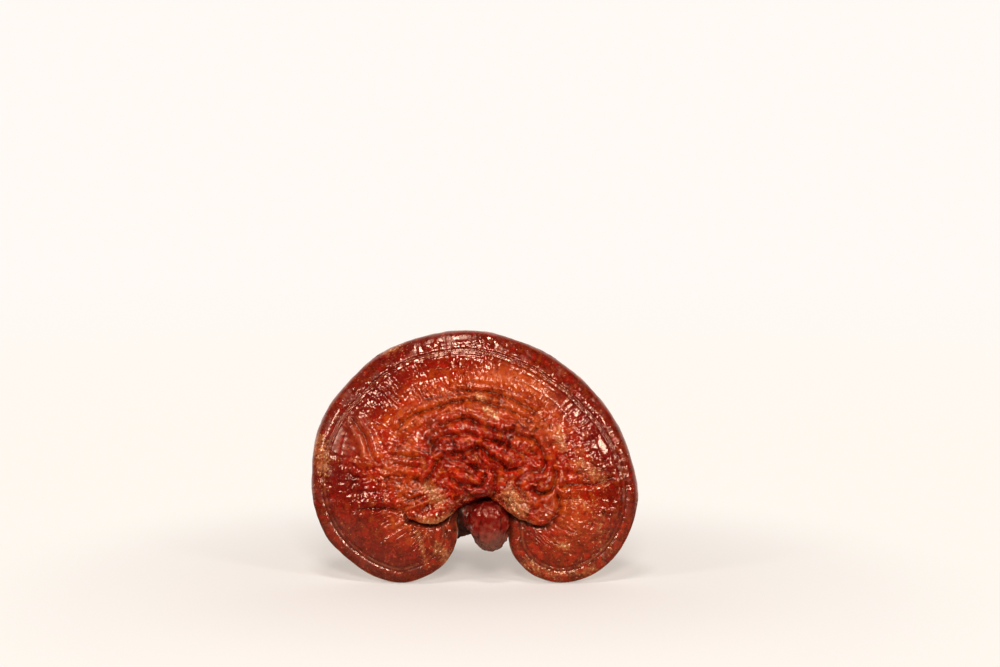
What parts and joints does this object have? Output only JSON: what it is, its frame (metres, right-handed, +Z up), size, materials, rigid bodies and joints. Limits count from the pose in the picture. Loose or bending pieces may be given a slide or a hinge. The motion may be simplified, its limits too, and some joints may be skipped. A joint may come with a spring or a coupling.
{
  "type": "reishi mushroom",
  "caption": "Dried reishi mushroom: a kidney-shaped lacquered cap with concentric ridges that stands on its lobes, propped by a curved stem cut flat at its end.",
  "frame": {"origin": "middle of the bounding box, on the surface that the mushroom stands on", "axes": "+Z up, +X across the cap to the viewer's right, the lacquered face looks along -Y and the stem runs back along +Y"},
  "size_m": [0.12, 0.0738, 0.091],
  "materials": {
    "cap_crust": "glossy lacquered crust, red-brown with orange growth zones; pale tan pores behind",
    "stem_crust": "glossy lacquered crust, dark purple-brown; pale fibrous cut end"
  },
  "bodies": {
    "root": {"cap": "cap_crust", "stem": "stem_crust"}
  },
  "joints": []
}
